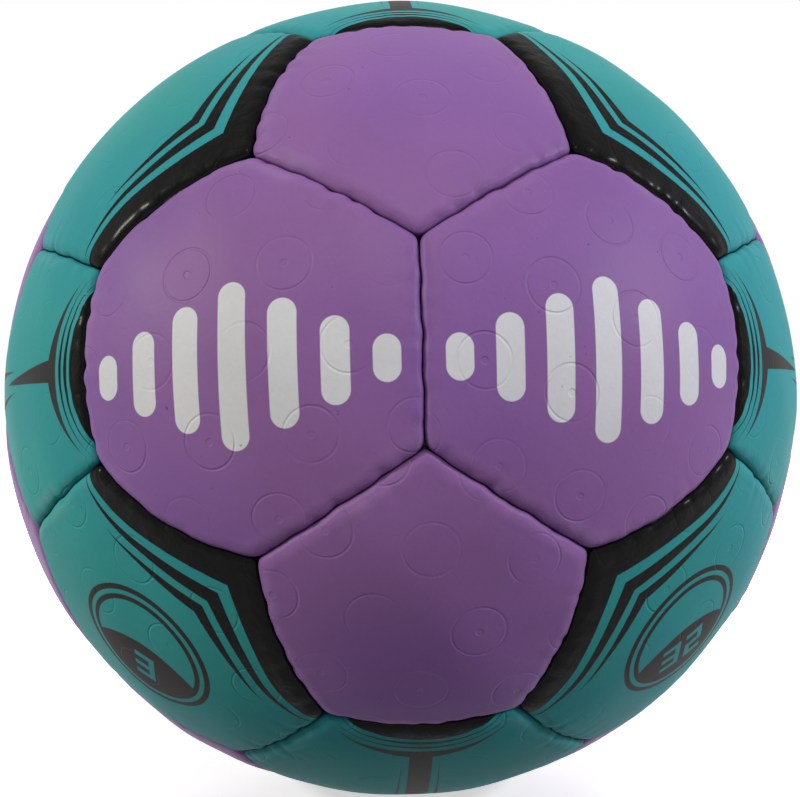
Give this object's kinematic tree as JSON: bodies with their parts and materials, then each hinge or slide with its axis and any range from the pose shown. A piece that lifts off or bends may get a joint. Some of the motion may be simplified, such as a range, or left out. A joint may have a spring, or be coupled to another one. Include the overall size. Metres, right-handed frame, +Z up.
{
  "type": "handball",
  "caption": "Sewn match handball: purple and teal hexagon and pentagon covers with turned-in stitched seams over foam, cloth lining, a rubber bladder and a needle valve.",
  "frame": {"origin": "middle of the ball", "axes": "+Z up as the ball lies, -Y toward the viewer, where the seam between the two front hexagons runs up the middle, +X to the viewer's right"},
  "size_m": [0.1872, 0.1872, 0.1874],
  "materials": {
    "purple_cover": "satin",
    "teal_cover": "satin",
    "foam": "matt",
    "lining": "woven",
    "thread": "waxed",
    "bladder": "matt",
    "valve_body": "matt",
    "valve_core": "matt"
  },
  "bodies": {
    "root": {"back_bottom_pentagon_panel": "purple_cover", "back_foams": "foam", "back_left_hexagon_panel": "purple_cover", "back_linings": "lining", "back_right_hexagon_panel": "purple_cover", "back_seam_threads": "thread", "back_top_pentagon_panel": "purple_cover", "bladder": "bladder", "bottom_back_hexagon_panel": "teal_cover", "bottom_foams": "foam", "bottom_front_hexagon_panel": "teal_cover", "bottom_left_pentagon_panel": "purple_cover", "bottom_linings": "lining", "bottom_right_pentagon_panel": "purple_cover", "bottom_seam_threads": "thread", "front_bottom_pentagon_panel": "purple_cover", "front_foams": "foam", "front_left_hexagon_panel": "purple_cover", "front_linings": "lining", "front_right_hexagon_panel": "purple_cover", "front_seam_threads": "thread", "front_top_pentagon_panel": "purple_cover", "left_back_bottom_hexagon_panel": "teal_cover", "left_back_pentagon_panel": "teal_cover", "left_back_top_hexagon_panel": "teal_cover", "left_bottom_hexagon_panel": "purple_cover", "left_foams": "foam", "left_front_bottom_hexagon_panel": "teal_cover", "left_front_pentagon_panel": "teal_cover", "left_front_top_hexagon_panel": "teal_cover", "left_linings": "lining", "left_seam_threads": "thread", "left_top_hexagon_panel": "purple_cover", "right_back_bottom_hexagon_panel": "teal_cover", "right_back_pentagon_panel": "teal_cover", "right_back_top_hexagon_panel": "teal_cover", "right_bottom_hexagon_panel": "purple_cover", "right_foams": "foam", "right_front_bottom_hexagon_panel": "teal_cover", "right_front_pentagon_panel": "teal_cover", "right_front_top_hexagon_panel": "teal_cover", "right_linings": "lining", "right_seam_threads": "thread", "right_top_hexagon_panel": "purple_cover", "top_back_hexagon_panel": "teal_cover", "top_foams": "foam", "top_front_hexagon_panel": "teal_cover", "top_left_pentagon_panel": "purple_cover", "top_linings": "lining", "top_right_pentagon_panel": "purple_cover", "top_seam_threads": "thread", "valve_body": "valve_body", "valve_core": "valve_core"}
  },
  "joints": []
}
